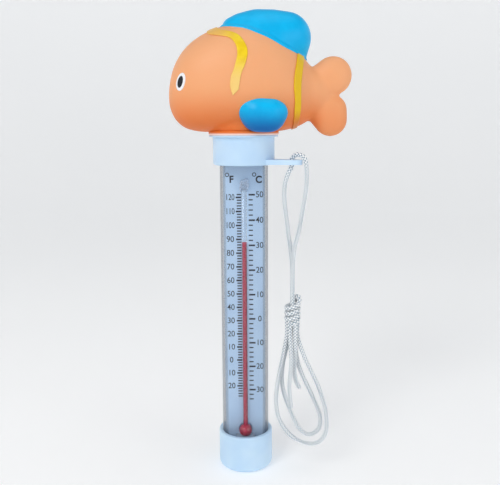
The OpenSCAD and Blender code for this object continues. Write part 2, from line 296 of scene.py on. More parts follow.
# Braided cord. Lengths and routes are in mm, routes start at the eyelet or the knot
cordFacts = {
    "thick": 2.3, "step": 0.26, "sides": 24, "carriers": 4, "lay": 6.2, "relief": 0.19,
    "sealed": 1.1, "sealedShare": 0.35,  # a cut end is melted round over this length, from this share
    "left": [
        (23, -10.7, 159.6), (23, -10.7, 157.4), (21.4, -10.6, 154.2), (19.9, -10.5, 149.5),
        (19.5, -10.4, 143.5), (19.9, -10.4, 137.5), (20.8, -10.4, 131), (21.5, -10.5, 124.5),
        (22.5, -10.6, 118), (23.3, -10.7, 111.5), (23.6, -10.7, 105), (23.6, -10.7, 99),
        (23.6, -10.7, 93), (23.3, -11.6, 88), (22.5, -13.4, 83), (22.3, -14.3, 79),
        (22.3, -14.3, 74.5), (22.7, -14.8, 68.5), (23, -15.1, 62), (22.5, -15.3, 55),
        (22, -15.3, 48.5), (22.4, -15.1, 42), (23.1, -14.9, 36.5),
    ],
    "right": [
        (23, -10.7, 159.6), (23, -10.7, 161), (24.2, -11.3, 162.7), (26.3, -12.3, 163.3),
        (28.6, -13.3, 162.1), (29.5, -13.8, 159.6), (30, -13.9, 154.5), (29.9, -13.8, 149),
        (29.2, -13.6, 143), (28.2, -13.4, 137), (27.3, -13.2, 131), (26, -13.1, 125), (24.5, -13.2, 119),
        (23.8, -13.3, 112.5), (23.6, -13.3, 106), (23.6, -13.3, 99.5), (23.6, -13.3, 93),
        (24.1, -13.4, 88), (24.7, -14, 83), (24.9, -14.3, 79), (24.9, -14.3, 74.5),
        (25, -13.8, 68.5), (24.8, -13, 62), (24.8, -12.7, 55.5), (25.6, -12.6, 50), (27.6, -12.7, 46),
    ],
    "outer": [
        (26.2, -12, 83), (26.2, -12, 79), (26.2, -12, 74.5), (27.6, -12.2, 68.5), (30, -12.5, 62),
        (33, -12.8, 55.5), (36, -13, 49), (38.4, -13.2, 42.5), (40.3, -13.4, 36), (41.2, -13.5, 29),
        (40.8, -13.4, 22.5), (37.8, -13.3, 17.8), (33, -13.2, 16.4), (27.4, -13, 18), (22.4, -13, 21.6),
        (18.6, -13, 26.8), (16.2, -13, 33), (15.6, -13, 40), (16, -12.9, 47), (17.2, -12.7, 54),
        (18.5, -12.5, 61), (19.9, -12.2, 68), (21, -12, 74.5), (21, -12, 79), (21, -12, 83),
    ],
    "inner": [
        (24.9, -9.7, 83), (24.9, -9.7, 79), (24.9, -9.7, 74), (25.3, -9.8, 67.5), (26.2, -9.8, 61),
        (28, -9.9, 54.5), (30.8, -10, 48), (33.8, -10, 41.5), (36.6, -10, 35), (38.4, -10, 28.5),
        (37.2, -10, 22.6), (32.2, -10, 20), (27.6, -10, 23.4), (24.6, -10, 29), (22, -10, 35.5),
        (19.8, -10, 42), (18.6, -10, 49), (18.8, -9.9, 56), (20, -9.8, 63), (21.6, -9.7, 69.5),
        (22.3, -9.7, 75), (22.3, -9.7, 79), (22.3, -9.7, 83),
    ],
}


# Value between the middle two of four, on one smooth curve
def between(a, b, c, d, t):
    curved = (2 * a - 5 * b + 4 * c - d) * t ** 2 + (3 * b - a - 3 * c + d) * t ** 3
    return 0.5 * (2 * b + (c - a) * t + curved)


# Points an even step apart on the smooth curve through the route
def walked(route, step):
    points = [Vector(p) for p in route]
    fine = []
    for i in range(len(points) - 1):
        four = [points[max(i - 1, 0)], points[i], points[i + 1], points[min(i + 2, len(points) - 1)]]
        fine += [between(*four, j / 40) for j in range(40)]
    fine.append(points[-1])
    total = sum((b - a).length for a, b in zip(fine, fine[1:]))
    count = round(total / step)
    line, run, i = [], 0.0, 0
    for k in range(count + 1):
        want = total * k / count
        while i < len(fine) - 2 and run + (fine[i + 1] - fine[i]).length < want:
            run += (fine[i + 1] - fine[i]).length
            i += 1
        part = (want - run) / max((fine[i + 1] - fine[i]).length, 1e-9)
        line.append(fine[i].lerp(fine[i + 1], min(part, 1)))
    return line


# How high the braid stands at a turn round the cord and a way along it, from 0 to 1
def braidHeight(turn, along):
    carriers = cordFacts["carriers"]
    right = carriers * (turn + along / cordFacts["lay"])
    left = carriers * (turn - along / cordFacts["lay"])
    over = (math.floor(right) + math.floor(left)) % 2 == 0
    across, down = (right % 1, left % 1) if over else (left % 1, right % 1)
    return math.sin(math.pi * across) ** 0.6 * (0.55 + 0.45 * math.sin(math.pi * down))


# The cord's mesh: rings along the line, with the braid's relief and its height as an attribute
def braided(name, line, openEnds=()):
    sides, radius = cordFacts["sides"], cordFacts["thick"] / 2
    points, heights, faces, along = [], [], [], 0.0
    across = (line[1] - line[0]).orthogonal().normalized()
    last = len(line) - 1
    for i, middle in enumerate(line):
        ahead = (line[min(i + 1, last)] - line[max(i - 1, 0)]).normalized()
        across = (across - ahead * across.dot(ahead)).normalized()
        other = ahead.cross(across)
        if i:
            along += (middle - line[i - 1]).length
        fromEnd = min([abs(i - end) for end in openEnds] or [last]) * cordFacts["step"]
        closed = min(fromEnd / cordFacts["sealed"], 1)
        share = cordFacts["sealedShare"] + math.sqrt(closed) * (1 - cordFacts["sealedShare"])
        for k in range(sides):
            high = braidHeight(k / sides, along)
            reach = radius * share - cordFacts["relief"] * (1 - high)
            angle = 2 * math.pi * k / sides
            points.append((middle + (across * math.cos(angle) + other * math.sin(angle)) * reach) * mm)
            heights.append(high)
    for i in range(last):
        for k in range(sides):
            after = (k + 1) % sides
            faces.append((i * sides + k, i * sides + after, (i + 1) * sides + after, (i + 1) * sides + k))
    for end, way in ((0, -1), (last, 1)):
        tip = len(points)
        points.append(line[end] * mm)
        heights.append(0.5)
        ring = [end * sides + k for k in range(sides)]
        for k in range(sides):
            pair = (ring[k], ring[(k + 1) % sides])
            faces.append((*(pair if way > 0 else pair[::-1]), tip))
    mesh = bpy.data.meshes.new(name)
    mesh.from_pydata(points, [], faces)
    mesh.attributes.new("strandHeight", "FLOAT", "POINT").data.foreach_set("value", heights)
    piece = bpy.data.objects.new(name, mesh)
    bpy.context.collection.objects.link(piece)
    return piece


# Soft nylon: pale on the strands, with painted shade of grey-blue in the grooves between them, and fine
# filaments
def cordNylon():
    m = Finish("braidedNylon")
    high = m.add("ShaderNodeAttribute", {"attribute_name": "strandHeight"}, out="Fac")
    worn = m.grain(220, 2)
    filament = m.grain(3200, 2)
    # Painted shade: grey-blue where the braid lies low, in the grooves between strands
    colour = m.mix(high.ramp(0.3, 0.78), tone(84, 118, 142), tone(254, 255, 255))
    colour = m.mix(worn.ramp(0.45, 0.75) * 0.1, colour, tone(214, 228, 236))
    return m.shows(m.plain(
        Base_Color=colour, Roughness=0.62 + filament * 0.2, Sheen_Weight=0.3, Sheen_Roughness=0.4,
        Normal=m.bump(filament, 0.00006, 0.6)))


knotFacts = {
    "centre": (23.6, -12), "low": 81.2, "high": 91, "reach": 3.0, "turns": 3.6, "slant": 0.9,
    "start": -1.9, "slantFrom": 0.8,  # in radians round the knot
    "lug": [
        (25.9, -13.4, 89.5), (26.6, -13.8, 91.3), (26.9, -13.5, 93), (26.2, -12.6, 94), (25, -11.8, 93.2)],
}


# The knot: slanted turns of the same cord round the bundle, and one turn that pokes out at the top
def knotRoute():
    x, y = knotFacts["centre"]
    count = 12 * round(knotFacts["turns"])
    route = []
    for i in range(count + 1):
        share = i / count
        angle = 2 * math.pi * knotFacts["turns"] * share + knotFacts["start"]
        height = knotFacts["low"] + (knotFacts["high"] - knotFacts["low"]) * share
        lean = knotFacts["slant"] * math.sin(angle + knotFacts["slantFrom"])
        route.append((x + knotFacts["reach"] * math.cos(angle), y + knotFacts["reach"] * math.sin(angle),
                      height + lean))
    return route


def makeCords():
    nylon = cordNylon()
    knot = braided("cord_knot", walked(knotRoute(), cordFacts["step"]))
    lug = braided("cord_lug", walked(knotFacts["lug"], cordFacts["step"]))
    knot = joined([knot, lug])
    finished(knot, "tether", nylon, ["tether_knot"])
    runs = [
        ("cord_left_run", "left", 0.125, "bare", ["tether_left_strand", "tether_front_tail"]),
        ("cord_right_run", "right", 0.126, "bare", ["tether_right_strand", "tether_back_tail"]),
        ("cord_outer_loop", "outer", 0.150, "knot", ["tether_outer_loop"]),
        ("cord_inner_loop", "inner", 0.137, "knot", ["tether_inner_loop"]),
    ]
    for name, key, length, end, stands in runs:
        line = walked(cordFacts[key], cordFacts["step"])
        piece = braided(name, line, [len(line) - 1] if end == "bare" else [])
        finished(piece, "tether", nylon, stands)
        line[0] * mm
        [p * mm for p in line]
    print("cords and knot")


# Moulded vinyl: a warm skin with painted shade, deeper orange, under the belly, painted light on the top,
# paler on the rim of the neck
def floatVinyl():
    m = Finish("orangeVinyl")
    height = m.axis("Z")
    along = m.axis("X")
    mottle = m.grain(60, 2)
    pores = m.grain(2600, 3)
    # Painted shade: darker, deeper orange low under the belly, weaker on the tail
    belly = height.ramp(0.197, 0.175) * (0.45 + along.ramp(0.04, 0.033) * 0.55)
    colour = m.mix(belly, tone(243, 170, 118), tone(228, 116, 42))
    # Painted light: paler towards the top
    colour = m.mix(height.ramp(0.194, 0.222) * 0.6, colour, tone(246, 182, 136))
    colour = m.mix(mottle.ramp(0.4, 0.8) * 0.1, colour, tone(238, 154, 98))
    onRim = height.ramp(0.1738, 0.1727) * along.ramp(0.026, 0.022)
    colour = m.mix(onRim, colour, tone(255, 226, 218))
    return m.shows(m.plain(
        Base_Color=colour, Roughness=0.46 + mottle * 0.1, Subsurface_Weight=0.12,
        Subsurface_Radius=(0.004, 0.002, 0.001), Subsurface_Scale=1.0, Specular_IOR_Level=0.4,
        Normal=m.bump(pores, 0.00003, 0.35)))


def finVinyl():
    m = Finish("blueFinPaint")
    height = m.axis("Z")
    drift = m.grain(90, 2)
    fleck = m.grain(2400, 3)
    colour = m.mix(drift.ramp(0.35, 0.7), tone(0, 180, 238), tone(4, 190, 247))
    # Painted shade: darker blue low on the side fins, where they face down
    colour = m.mix(height.ramp(0.1865, 0.1745) * 0.95, colour, tone(0, 92, 168))
    return m.shows(m.plain(
        Base_Color=colour, Roughness=0.3 + drift * 0.1, Specular_IOR_Level=0.18, Coat_Weight=0.06,
        Coat_Roughness=0.3, Normal=m.bump(fleck, 0.00003, 0.3)))


# Yellow paint, sprayed thinner at both ends of the front stripe; low on the rear stripe, under the tail's
# root, it turns dark orange, partly as fading paint and partly as painted shade
def stripePaint():
    m = Finish("yellowStripePaint")
    height = m.axis("Z")
    along = m.axis("X")
    drift = m.grain(300, 2)
    thin = height.ramp(0.209, 0.196) * along.ramp(0.012, 0.008)
    colour = m.mix(drift.ramp(0.35, 0.7), tone(238, 200, 10), tone(246, 212, 26))
    colour = m.mix(thin, colour, tone(247, 208, 122))
    colour = m.mix(along.ramp(-0.002, -0.012) * 0.85, colour, tone(243, 188, 104))
    colour = m.mix(along.ramp(0.018, 0.023) * 0.8, colour, tone(228, 184, 6))
    # Partly painted shade: dark orange low on the rear stripe, where the paint also fades
    colour = m.mix(height.ramp(0.185, 0.1775), colour, tone(214, 118, 20))
    return m.shows(m.plain(
        Base_Color=colour, Roughness=0.3 + drift * 0.12, Specular_IOR_Level=0.3, Coat_Weight=0.12,
        Coat_Roughness=0.2, Normal=m.bump(m.grain(2400, 3), 0.00003, 0.3)))


def eyePaint(name, colour):
    m = Finish(name)
    drift = m.grain(500, 2)
    mixed = m.mix(drift * 0.06, colour, tone(120, 125, 140))
    return m.shows(m.plain(Base_Color=mixed, Roughness=0.26 + drift * 0.1, Specular_IOR_Level=0.3,
                           Coat_Weight=0.15, Coat_Roughness=0.08))


floatFacts = {
    # x, top z, bottom z, half width, from the nose to the root of the tail
    "sections": [
        (-35.7, 193, 188, 3.5), (-35.1, 197.4, 184.6, 8.6), (-33, 205, 180, 14), (-28.5, 212.4, 176, 18.4),
        (-21.5, 218.4, 174.2, 21.8), (-11.5, 222.9, 173.8, 23.8), (0, 224.6, 173.8, 24.2),
        (11, 222.4, 173.8, 22.6), (20, 217.6, 174.6, 18.8), (27, 211.4, 176.6, 14), (32, 205.6, 179.4, 9.6),
        (36, 202.6, 181.6, 7.4), (40, 199.5, 184.5, 5), (43, 196, 188, 2.6),
    ],
    "steps": 3, "sides": 48, "squareness": 2.3,
    "belly": 0.47,  # share of the height that lies below the widest line
    "tail": [
        [(35, 195.6, 8.2), (43.3, 200.5, 9.3)],
        [(35, 188.4, 8.2), (42.4, 179.8, 8.3), (43.1, 184.2, 7.4)],
    ],
    "tailThickness": 0.62, "rim": 17.2, "rimLow": 172.4, "rimHigh": 175.2, "neck": 11.3,
    "stub": (16.3, 174, 184), "socket": (172, 181), "grain": 0.65, "softening": 14,
}


def sectionAt(u):
    table = floatFacts["sections"]
    last = len(table) - 1
    i = min(int(u), last - 1)
    four = zip(table[max(i - 1, 0)], table[i], table[i + 1], table[min(i + 2, last)])
    return [between(*values, u - i) for values in four]


# The body, extruded ring by ring from the nose and resized at each ring
def bodyLoft():
    bpy.ops.object.select_all(action="DESELECT")
    sides = floatFacts["sides"]
    bpy.ops.mesh.primitive_circle_add(vertices=sides, radius=1, rotation=(0, math.pi / 2, 0))
    piece = added("body")
    count = (len(floatFacts["sections"]) - 1) * floatFacts["steps"]
    power = 2 / floatFacts["squareness"]

    def frameOf(i):
        x, top, low, half = sectionAt(i / floatFacts["steps"])
        return x * mm, (low + floatFacts["belly"] * (top - low)) * mm, half * mm, (top - low) * mm

    x, middle, half, tall = frameOf(0)
    for vertex in piece.data.vertices:
        up, out = vertex.co.z, vertex.co.y
        share = 1 - floatFacts["belly"] if up > 0 else floatFacts["belly"]
        vertex.co = (x, math.copysign(abs(out) ** power, out) * half,
                     middle + math.copysign(abs(up) ** power, up) * share * tall)
    editing(piece)
    bpy.ops.mesh.select_all(action="SELECT")
    for i in range(1, count + 1):
        before, now = frameOf(i - 1), frameOf(i)
        step = (now[0] - before[0], 0, now[1] - before[1])
        bpy.ops.mesh.extrude_edges_move(TRANSFORM_OT_translate={"value": step})
        bpy.ops.transform.resize(
            value=(1, now[2] / before[2], now[3] / before[3]), center_override=(now[0], 0, now[1]))
    bpy.ops.mesh.select_mode(type="EDGE")
    bpy.ops.mesh.select_all(action="DESELECT")
    bpy.ops.mesh.select_non_manifold()
    bpy.ops.mesh.fill_holes(sides=0)
    bpy.ops.mesh.select_all(action="SELECT")
    bpy.ops.mesh.normals_make_consistent(inside=False)
    done()
    return piece


def tailLobe(balls):
    thin = floatFacts["tailThickness"]
    return hulled([ball("lobe", (x, 0, z), (r, r * thin, r)) for x, z, r in balls])


# The skin melts body, tail and neck together. The plain loft is kept for what is laid on it
def makeFloat():
    loft = bodyLoft()
    skin = copyOf(loft, "float_skin")
    reach, low, top = floatFacts["stub"]
    stub = rod("stub", (0, 0, (top + low) / 2), reach, top - low)
    skin = joined([skin, stub] + [tailLobe(balls) for balls in floatFacts["tail"]])
    melted(skin, floatFacts["grain"], floatFacts["softening"])
    low, top = floatFacts["socket"]
    cut(skin, rod("socket", (0, 0, (low + top) / 2), floatFacts["neck"], top - low))
    low, high, rim, neck = (floatFacts[key] for key in ("rimLow", "rimHigh", "rim", "neck"))
    lip = turned("float_lip", [
        (neck, low + 0.3), (neck + 0.3, low), *bend((rim - 0.6, low + 0.6), 0.6, -90, 0, 5),
        *bend((rim - 0.7, low + 1.5), 0.7, 0, 90, 5), (rim - 1.6, high - 0.3), (neck, high),
        (neck, low + 0.3)])
    finished(joined([skin, lip]), "casing", floatVinyl(), ["float_shell"])
    print("float skin")
    return loft


# A layer that stands proud of the body and goes a little way into it
def skinLayer(loft, name, proud, deep):
    layer = copyOf(loft, name)
    modified(layer, "SUBSURF", levels=1, render_levels=1)
    modified(layer, "DISPLACE", strength=proud * mm, mid_level=0)
    return modified(layer, "SOLIDIFY", thickness=(proud + deep) * mm, offset=-1)


finFacts = {
    # x, z, reach, half thickness
    "back": [
        (-4.6, 222.3, 5.6, 9.5), (0.5, 219.5, 10.4, 12.5), (7.2, 214, 17.4, 15), (13.8, 216.2, 15, 14.2),
        (20.3, 218, 12.3, 11.5), (29.4, 209.2, 1, 2)],
    "foot": 1.0, "footProud": 0.75, "footDeep": 2, "backGrain": 0.42, "backSoftening": 8, "backCut": 206,
    "side": [(1.7, 186.1, 5.6), (7.1, 182.6, 8.8), (11.8, 182, 8.3), (15, 182.8, 5.8)],  # x, z, reach
    "sideOut": 17.4, "sideFlat": 0.88, "sideGrain": 0.45, "sideSoftening": 30,
}


def backForm(grow):
    return hulled([ball("form", (x, 0, z), (r + grow, thick + grow, r + grow), 48)
                   for x, z, r, thick in finFacts["back"]])


def makeFins(loft):
    paint = finVinyl()
    foot = backForm(finFacts["foot"])
    cut(foot, skinLayer(loft, "layer", finFacts["footProud"], finFacts["footDeep"]), "INTERSECT")
    fin = joined([backForm(0), foot])
    fin.name = "dorsal_blade"
    editing(fin)
    bpy.ops.mesh.select_all(action="SELECT")
    bpy.ops.mesh.bisect(
        plane_co=(0, 0, finFacts["backCut"] * mm), plane_no=(0, 0, 1), use_fill=True, clear_inner=True)
    done()
    melted(fin, finFacts["backGrain"], finFacts["backSoftening"])
    finished(fin, "casing", paint, ["dorsal_fin"])
    for side, label in ((1, "left"), (-1, "right")):
        balls = [ball("pad", (x, side * finFacts["sideOut"], z), (r, r * finFacts["sideFlat"], r))
                 for x, z, r in finFacts["side"]]
        pad = melted(hulled(balls), finFacts["sideGrain"], finFacts["sideSoftening"])
        pad.name = f"side_fin_{label}"
        finished(pad, "casing", paint, [f"pectoral_fin_{label}"])
    print("fins")


stripeFacts = {
    "proud": 0.6, "deep": 1.2, "grain": 0.3, "softening": 6, "edgeStep": 1.2, "across": 80,
    # both edges of each band, as X and Z
    "stripe_front": [
        [(-17.2, 226), (-17.1, 221.4), (-16.6, 219.1), (-14.6, 218.1), (-10.3, 217.3), (-6.2, 216.3),
         (-3.4, 213.4), (-2.5, 208.8), (-3.9, 202.6), (-5.4, 198.7), (-5.8, 194.3), (-4.6, 190.3)],
        [(-12.6, 226), (-12.3, 223.2), (-11.4, 221.6), (-9.4, 220.4), (-5.1, 219.3), (-1.6, 217.4),
         (1.3, 213.4), (2.3, 209.3), (1.2, 204.2), (-0.5, 200.3), (-1.4, 195.8), (-1.8, 193.1)]],
    "stripe_rear": [
        [(26.2, 214), (25.1, 207.4), (23.8, 200.2), (23.4, 194.5), (24, 187.6), (23.6, 178.3),
         (22.9, 170)],
        [(30.2, 214), (28.8, 207.3), (27.5, 199.3), (27.1, 193.5), (27.1, 184.8), (26.4, 178.3),
         (25.2, 170)]],
}


# A wall between two edges drawn in X and Z that reaches across the body
def bandBetween(edges):
    lines = [walked([(x, z, 0) for x, z in edge], stripeFacts["edgeStep"]) for edge in edges]
    outline = lines[0] + lines[1][::-1]
    curve = bpy.data.curves.new("band", "CURVE")
    curve.dimensions = "2D"
    curve.fill_mode = "BOTH"
    curve.extrude = stripeFacts["across"] * mm / 2
    spline = curve.splines.new("POLY")
    spline.points.add(len(outline) - 1)
    spline.use_cyclic_u = True
    for point, place in zip(spline.points, outline):
        point.co = (place.x * mm, place.y * mm, 0, 1)
    band = bpy.data.objects.new("band", curve)
    bpy.context.collection.objects.link(band)
    band.rotation_euler = (math.pi / 2, 0, 0)
    only(band)
    bpy.ops.object.convert(target="MESH")
    bpy.ops.object.transform_apply(location=True, rotation=True, scale=True)
    editing(band)
    bpy.ops.mesh.select_all(action="SELECT")
    bpy.ops.mesh.remove_doubles(threshold=0.001 * mm)
    bpy.ops.mesh.normals_make_consistent(inside=False)
    done()
    return band


def makeStripes(loft):
    paint = stripePaint()
    for name, stands in (("stripe_front", "front_stripe"), ("stripe_rear", "rear_stripe")):
        stripe = skinLayer(loft, name, stripeFacts["proud"], stripeFacts["deep"])
        cut(stripe, bandBetween(stripeFacts[name]), "INTERSECT")
        cut(stripe, backForm(finFacts["foot"]))
        melted(stripe, stripeFacts["grain"], stripeFacts["softening"])
        finished(stripe, "casing", paint, [stands])
    print("stripes")


eyeFacts = {
    "place": (-28.5, 18.1, 196.9), "turn": 50, "lean": 14,
    "white": (5.2, 8.2, 0.4), "pupil": (3.1, 5.5, 0.6),  # width, height, how proud of the skin
    "deep": 1, "grain": 0.18, "softening": 5, "plug": 10,
}


def makeEyes(loft):
    white = eyePaint("eyeWhitePaint", tone(245, 246, 250))
    black = eyePaint("eyeBlackPaint", tone(6, 6, 12))
    x, y, z = eyeFacts["place"]
    for side, label in ((1, "left"), (-1, "right")):
        for key, paint, slotName in (("white", white, "eye_white"), ("pupil", black, "eye_black")):
            wide, tall, proud = eyeFacts[key]
            turn = (Matrix.Rotation(side * math.radians(180 - eyeFacts["turn"]), 4, "Z")
                    @ Matrix.Rotation(math.pi / 2, 4, "Y")
                    @ Matrix.Rotation(side * math.radians(eyeFacts["lean"]), 4, "Z")).to_euler()
            plug = rod("plug", (0, 0, 0), 0.5, eyeFacts["plug"], sides=48)
            plug.scale = (tall, wide, 1)  # its width was 1, so its scale is its size
            plug.rotation_euler = turn
            plug.location = (x * mm, side * y * mm, z * mm)
            only(plug)
            bpy.ops.object.transform_apply(location=True, rotation=True, scale=True)
            stands = f"eye_white_{label}" if key == "white" else f"pupil_{label}"
            eye = skinLayer(loft, f"{stands}_button", proud, eyeFacts["deep"])
            cut(eye, plug, "INTERSECT")
            melted(eye, eyeFacts["grain"], eyeFacts["softening"])
            finished(eye, "casing", paint, [stands])
    print("eyes")


# Smooth moulded plastic of the two caps
def capPlastic():
    m = Finish("capPlastic")
    drift = m.grain(70, 2)
    speck = m.grain(1800, 3)
    colour = m.mix(drift.ramp(0.3, 0.75), tone(192, 222, 249), tone(204, 230, 252))
    return m.shows(m.plain(
        Base_Color=colour, Roughness=0.38 + drift * 0.12, Subsurface_Weight=0.1,
        Subsurface_Radius=(0.002, 0.002, 0.003), Subsurface_Scale=1.0,
        Normal=m.bump(speck, 0.00003, 0.3)))


# Clear wall: open face on, with a painted grey edge in place of the wall's refraction, and a mirror sheen
def tubePlastic():
    m = Finish("tubeAcrylic")
    facing = m.add("ShaderNodeLayerWeight", sockets={"Blend": 0.5}, out="Facing")
    haze = m.grain(400, 3)
    # Painted shade: this grey stands in for the dark bands that the wall's refraction makes at the tube's
    # edges
    wall = m.plain(Base_Color=tone(104, 112, 124), Roughness=0.06, IOR=1.49, Specular_IOR_Level=0.3)
    clear = m.add("ShaderNodeBsdfTransparent", sockets={"Color": (0.985, 0.992, 1, 1)})
    # The grey wall is mixed in at the edges as painted shade, plus a faint random haze
    share = facing.ramp(0.46, 0.62) * 0.42 + facing.ramp(0.62, 1) * 0.3 + haze * 0.01
    gloss = m.add("ShaderNodeBsdfGlossy", sockets={"Color": (1, 1, 1, 1), "Roughness": 0.04})
    sheen = 0.014 + facing ** 5 * 0.3
    seen = m.add("ShaderNodeMixShader", sockets={0: share, 1: clear, 2: wall})
    return m.shows(m.add("ShaderNodeMixShader", sockets={0: sheen, 1: seen, 2: gloss}))


# Lamp rays pass the stem, so that the liquid inside it is lit
def stemGlass():
    m = Finish("stemGlass")
    glass = m.plain(Base_Color=(0.97, 0.985, 1, 1), Roughness=0.03, IOR=1.5, Specular_IOR_Level=0.25,
                    Transmission_Weight=1.0)
    clear = m.add("ShaderNodeBsdfTransparent", sockets={"Color": (0.96, 0.97, 0.98, 1)})
    lamps = m.add("ShaderNodeLightPath", out="Is Shadow Ray")
    return m.shows(m.add("ShaderNodeMixShader", sockets={0: lamps, 1: glass, 2: clear}))


def clearGlue():
    m = Finish("clearGlue")
    bubble = m.grain(900, 2)
    body = m.plain(Base_Color=tone(226, 236, 248), Roughness=0.12 + bubble * 0.2, IOR=1.45, Coat_Weight=0.6,
                   Coat_Roughness=0.05, Normal=m.bump(bubble, 0.0002, 0.7))
    clear = m.add("ShaderNodeBsdfTransparent", sockets={"Color": (0.95, 0.97, 1, 1)})
    return m.shows(m.add("ShaderNodeMixShader", sockets={0: 0.12 + bubble * 0.3, 1: clear, 2: body}))


def redLiquid():
    m = Finish("redLiquid")
    swirl = m.grain(300, 2)
    colour = m.mix(swirl.ramp(0.3, 0.7), tone(200, 4, 64), tone(212, 8, 76))
    return m.shows(m.plain(Base_Color=colour, Roughness=0.4 + swirl * 0.1, Specular_IOR_Level=0.1))


def cardStock():
    m = Finish("scaleCard")
    fibre = m.grain(1400, 4)
    cloud = m.grain(50, 2)
    colour = m.mix(cloud.ramp(0.3, 0.75), tone(180, 206, 234), tone(192, 216, 240))
    colour = m.mix(fibre.ramp(0.35, 0.75) * 0.1, colour, tone(160, 190, 224))
    return m.shows(m.plain(
        Base_Color=colour, Roughness=0.55 + cloud * 0.1, Normal=m.bump(fibre, 0.00004, 0.4)))


def printInk():
    m = Finish("navyInk")
    wear = m.grain(2200, 3)
    colour = m.mix(wear.ramp(0.5, 0.85) * 0.25, tone(4, 10, 34), tone(50, 66, 104))
    return m.shows(m.plain(Base_Color=colour, Roughness=0.5 + wear * 0.2))


def sealRubber():
    m = Finish("sealRubber")
    dust = m.grain(900, 3)
    colour = m.mix(dust.ramp(0.4, 0.8), tone(226, 230, 232), tone(205, 210, 214))
    return m.shows(m.plain(Base_Color=colour, Roughness=0.7 + dust * 0.15, Normal=m.bump(dust, 0.00005, 0.5)))


def ballastSteel():
    m = Finish("ballastSteel")
    lathe = m.grain(500, 3)
    colour = m.mix(lathe.ramp(0.4, 0.8), tone(150, 152, 155), tone(176, 178, 180))
    return m.shows(m.plain(
        Base_Color=colour, Metallic=1.0, Roughness=0.3 + lathe * 0.2, Normal=m.bump(lathe, 0.00003, 0.4)))


def padFoam():
    m = Finish("padFoam")
    cells = m.add("ShaderNodeTexVoronoi", sockets={"Vector": m.place(), "Scale": 1500.0}, out="Distance")
    colour = m.mix(cells.ramp(0.1, 0.6), tone(142, 160, 180), tone(164, 182, 202))
    return m.shows(m.plain(Base_Color=colour, Roughness=0.9, Normal=m.bump(cells, 0.0002, 0.6)))


casingFacts = {
    "tube": 12.0, "wall": 1.4, "gap": 0.03,
    "baseRound": 3.0, "baseFloor": 3.0, "baseEdge": 0.7,
    "capHeight": 13.6, "capReach": 15.15, "capPlate": 2.2, "capEdge": 1.0,
    "flange": 17.0, "flangeHeight": 0.8, "flangeEdge": 0.3,
    "spigot": 11.0, "spigotWall": 1.5,
    "tabTurn": 25, "tabLow": 0.4, "tabThick": 2.4, "tabEnd": 30.6, "tabNose": 4.0, "tabRoot": 13.5,
    "tabRootHalf": 5.6, "eyelet": 4.6, "eyeletReach": 25.1, "tabEdge": 0.5,
}


def makeCaps():
    c = casingFacts
    plastic = capPlastic()
    inside = c["tube"] + c["gap"]
    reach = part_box("bottom_cap")[1].x / mm
    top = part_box("bottom_cap")[1].z / mm
    low = c["baseRound"]
    edge = c["baseEdge"]
    base = turned("base_cup", [
        (0, 0), *bend((reach - low, low), low, -90, 0, 12), *bend((reach - edge, top - edge), edge, 0, 90, 6),
        (inside + 0.3, top), (inside, top - 0.3), (inside, c["baseFloor"]), (0, c["baseFloor"])])
    finished(base, "casing", plastic, ["bottom_cap"], 35)
    low, top = (corner.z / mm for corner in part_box("top_cap"))
    shelf = low + c["capHeight"]
    plate = shelf - c["capPlate"]
    flangeTop = shelf + c["flangeHeight"]
    edge, rim = c["capEdge"], c["flangeEdge"]
    cap = turned("collar", [
        (inside, low + 0.4), (inside + 0.4, low), *bend((c["capReach"] - edge, low + edge), edge, -90, 0, 6),
        (c["capReach"], shelf - 0.5), *bend((c["capReach"] + 0.5, shelf - 0.5), 0.5, 180, 90, 4),
        *bend((c["flange"] - rim, shelf + rim), rim, -90, 0, 4),
        *bend((c["flange"] - rim, flangeTop - rim), rim, 0, 90, 4),
        (c["spigot"], flangeTop), *bend((c["spigot"] - 0.4, top - 0.4), 0.4, 0, 90, 4),
        (c["spigot"] - c["spigotWall"], top), (c["spigot"] - c["spigotWall"], shelf), (0, shelf),
        (0, plate), (inside, plate), (inside, low + 0.4)])
    finished(joined([cap, makeTab(low)]), "casing", plastic, ["top_cap"], 35)
    print("caps")


# The tab: a disc at its nose and a wide root, hulled flat, drilled and its edges rounded
def makeTab(capLow):
    c = casingFacts
    middle = capLow + c["tabLow"] + c["tabThick"] / 2
    tab = hulled([
        rod("nose", (c["tabEnd"] - c["tabNose"], 0, middle), c["tabNose"], c["tabThick"], sides=48),
        block("root", (c["tabRoot"] + 0.5, 0, middle), (1, 2 * c["tabRootHalf"], c["tabThick"]))])
    cut(tab, rod("drill", (c["eyeletReach"], 0, middle), c["eyelet"] / 2, 9, sides=48))
    editing(tab)
    bpy.ops.mesh.select_all(action="SELECT")
    bpy.ops.mesh.dissolve_limited(angle_limit=math.radians(1))
    done()
    modified(
        tab, "BEVEL", width=c["tabEdge"] * mm, segments=3, limit_method="ANGLE", angle_limit=math.radians(50))
    tab.rotation_euler = (0, 0, -math.radians(c["tabTurn"]))
    only(tab)
    bpy.ops.object.transform_apply(location=True, rotation=True, scale=True)
    return tab


def makeTube():
    c = casingFacts
    low, top = (corner.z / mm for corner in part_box("tube"))
    inner = c["tube"] - c["wall"]
    tube = turned("tube_wall", [
        (inner, low), (c["tube"] - 0.2, low), (c["tube"], low + 0.2), (c["tube"], top - 0.2),
        (c["tube"] - 0.2, top), (inner, top), (inner, low)], steps=160)
    finished(tube, "casing", tubePlastic(), ["tube"], 35)
    print("tube")


stemFacts = {
    "y": -2.4, "bulb": 19.0, "bulbReach": 3.4, "stem": 1.4, "bore": 0.75, "top": 147.0, "knob": 1.55,
    "bulbInside": 2.9, "gap": 0.05, "boreTop": 145.0, "glueGrain": 0.2, "glueSoftening": 4,
    "glue": [((0, -1.9, 147.8), (2.6, 1.25, 3.1)), ((1.0, -1.7, 150.0), (1.5, 0.9, 1.5)),
             ((-1.3, -1.6, 146.2), (1.3, 0.8, 1.7))],
}


